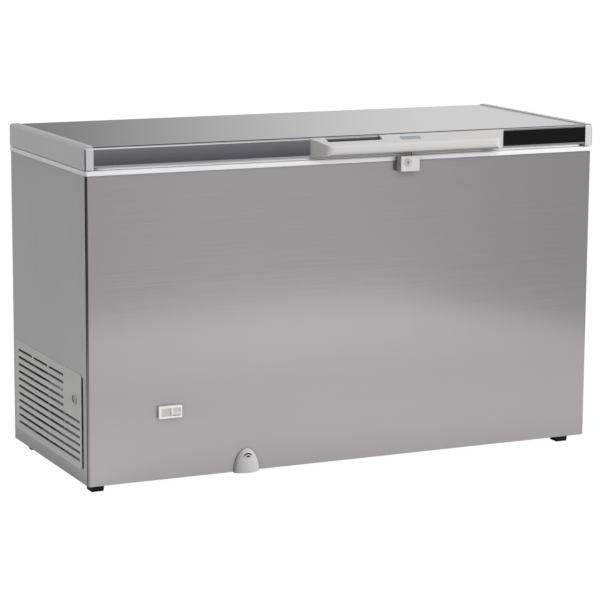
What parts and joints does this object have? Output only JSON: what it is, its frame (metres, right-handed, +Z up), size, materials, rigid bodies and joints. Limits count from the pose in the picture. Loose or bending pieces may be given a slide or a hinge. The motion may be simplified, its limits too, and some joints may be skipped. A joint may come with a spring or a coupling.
{
  "type": "chest freezer",
  "caption": "Long steel-fronted chest freezer with a hinged insulated lid, offset handle, key lock, side grille, thermostat, drain and rear rollers.",
  "frame": {"origin": "on the floor under the middle of the whole freezer", "axes": "+X to the right along its length, +Y to its back, +Z up"},
  "size_m": [1.5095, 0.673, 0.9205],
  "materials": {
    "brushed_front": "satin",
    "side_sheet": "satin",
    "rear_sheet": "satin",
    "galvanised": "satin",
    "foam": "matte",
    "liner_sheet": "satin",
    "frame_plastic": "satin",
    "grille_plastic": "matte",
    "thermostat_plastic": "matte",
    "knob_plastic": "matte",
    "bezel_plastic": "satin",
    "window_plastic": "gloss",
    "rocker_plastic": "satin",
    "drain_plastic": "matte",
    "pipe_plastic": "matte",
    "foot_rubber": "matte",
    "roller_plastic": "matte",
    "zinc": "satin",
    "pin_steel": "polished",
    "spring_steel": "satin",
    "lid_steel": "satin",
    "cap_plastic": "satin",
    "dark_steel": "satin",
    "black_gloss": "gloss",
    "inner_plastic": "satin",
    "gasket_rubber": "matte",
    "handle_plastic": "satin",
    "plate_metal": "satin",
    "lock_plastic": "satin",
    "lock_chrome": "polished",
    "compressor_paint": "satin",
    "relay_plastic": "matte",
    "copper": "satin"
  },
  "bodies": {
    "cabinet": {"front_panel": "brushed_front", "left_side_panel": "side_sheet", "right_side_panel": "side_sheet", "rear_panel": "rear_sheet", "base_plate": "galvanised", "bay_liner": "galvanised", "roller_bracket_left": "galvanised", "roller_bracket_right": "galvanised", "cabinet_insulation": "foam", "inner_liner": "liner_sheet", "top_frame": "frame_plastic", "side_grille": "grille_plastic", "thermostat_body": "thermostat_plastic", "switch_box": "thermostat_plastic", "control_bezel": "bezel_plastic", "indicator_window": "window_plastic", "drain_cover": "drain_plastic", "drain_pipe": "pipe_plastic", "front_feet": "foot_rubber", "compressor_grommets": "foot_rubber", "roller_axles": "zinc", "hinge_base_left": "zinc", "hinge_base_right": "zinc", "hinge_base_screws": "zinc", "compressor_bolts": "zinc", "hinge_pins": "pin_steel", "hinge_spring_left": "spring_steel", "hinge_spring_right": "spring_steel", "lock_housing": "lock_plastic", "compressor": "compressor_paint", "relay_box": "relay_plastic", "mains_gland": "relay_plastic", "condenser_coil": "copper", "evaporator_coil": "copper", "discharge_line": "copper", "filter_drier": "copper", "capillary_tube": "copper", "suction_line": "copper"},
    "lid": {"lid_top_skin": "lid_steel", "lid_end_cap_left": "cap_plastic", "lid_end_cap_right": "cap_plastic", "lid_front_strip": "dark_steel", "lid_black_panel": "black_gloss", "lid_inner_panel": "inner_plastic", "lid_insulation": "foam", "lid_gasket": "gasket_rubber", "lid_handle": "handle_plastic", "handle_plate": "plate_metal", "lock_striker": "zinc", "hinge_leaf_left": "zinc", "hinge_leaf_right": "zinc", "hinge_leaf_screws": "zinc"},
    "lock_cylinder": {"lock_cylinder": "lock_chrome"},
    "lock_bolt": {"lock_bolt": "zinc"},
    "thermostat_knob": {"thermostat_knob": "knob_plastic"},
    "rocker_switch": {"rocker_switch": "rocker_plastic"},
    "drain_plug": {"drain_plug": "foot_rubber"},
    "roller_left": {"roller_left": "roller_plastic"},
    "roller_right": {"roller_right": "roller_plastic"}
  },
  "joints": [
    {"name": "lid_hinge", "type": "hinge", "parent": "cabinet", "child": "lid", "pos_m": [0, 0.3285, 0.86], "axis": [-1, 0, 0], "range_deg": [0, 85], "stiffness_Nm_per_rad": 24.9, "springref_deg": 85},
    {"name": "lock_cylinder_turn", "type": "hinge", "parent": "cabinet", "child": "lock_cylinder", "pos_m": [0.16, -0.3165, 0.84], "axis": [0, 1, 0], "range_deg": [0, 90]},
    {"name": "lock_bolt_slide", "type": "slide", "parent": "cabinet", "child": "lock_bolt", "axis": [1, 0, 0], "range_m": [0, 0.009]},
    {"name": "thermostat_knob_turn", "type": "hinge", "parent": "cabinet", "child": "thermostat_knob", "pos_m": [-0.75, -0.1965, 0.245], "axis": [1, 0, 0], "range_deg": [0, 270]},
    {"name": "rocker_switch_tilt", "type": "hinge", "parent": "cabinet", "child": "rocker_switch", "pos_m": [-0.5065, -0.2935, 0.21], "axis": [1, 0, 0], "range_deg": [0, 14]},
    {"name": "drain_plug_lift", "type": "slide", "parent": "cabinet", "child": "drain_plug", "axis": [0, 0, 1], "range_m": [0, 0.06]},
    {"name": "roller_left_spin", "type": "hinge", "parent": "cabinet", "child": "roller_left", "pos_m": [-0.711, 0.2675, 0.028], "axis": [1, 0, 0], "continuous": true},
    {"name": "roller_right_spin", "type": "hinge", "parent": "cabinet", "child": "roller_right", "pos_m": [0.711, 0.2675, 0.028], "axis": [1, 0, 0], "continuous": true}
  ],
  "couplings": [
    {"joint": "lock_bolt_slide", "follows": "lock_cylinder_turn", "m_per_rad": 0.0057296}
  ]
}
